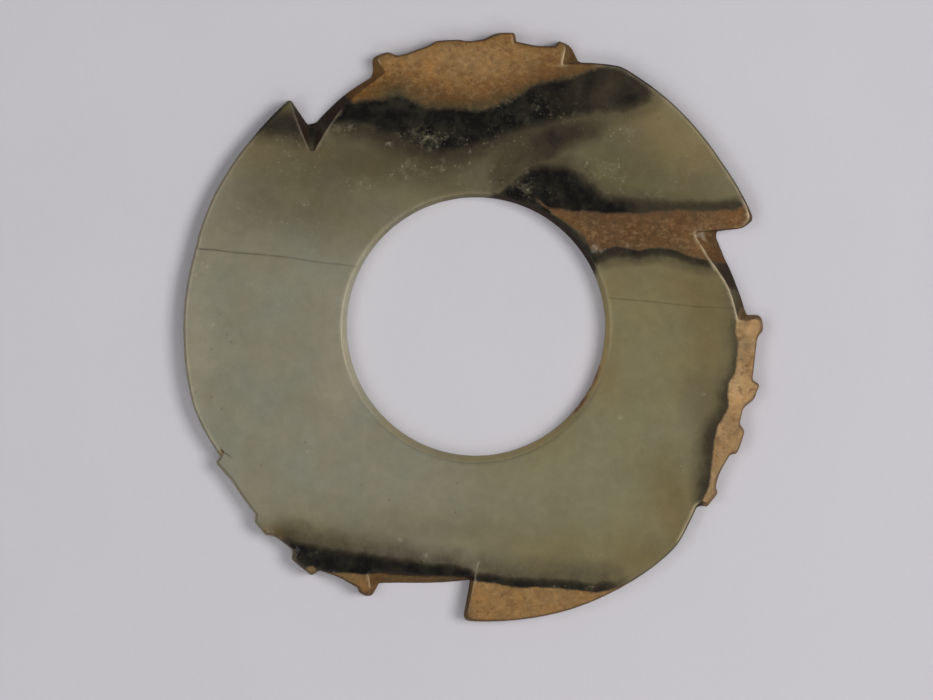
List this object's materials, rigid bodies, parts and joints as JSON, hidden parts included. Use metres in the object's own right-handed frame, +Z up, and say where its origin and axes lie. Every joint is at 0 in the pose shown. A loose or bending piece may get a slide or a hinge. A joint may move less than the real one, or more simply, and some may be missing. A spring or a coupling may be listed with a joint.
{
  "type": "notched jade bi disc",
  "caption": "Flat carved jade disc with a large round hole; its rim is cut into hooked lobes that all turn one way, each with a crest of small teeth.",
  "frame": {"origin": "middle of the bounding box in plan, on the surface the disc lies on", "axes": "+Z up through the disc's thickness; +Y towards the broadest crest of teeth, +X towards the right-hand crest, seen from above"},
  "size_m": [0.1476, 0.1498, 0.006],
  "materials": {
    "jade": "worn satin polish on grey-green stone, with weathered tan and near-black zones"
  },
  "bodies": {
    "root": {"jade_disc": "jade"}
  },
  "joints": []
}
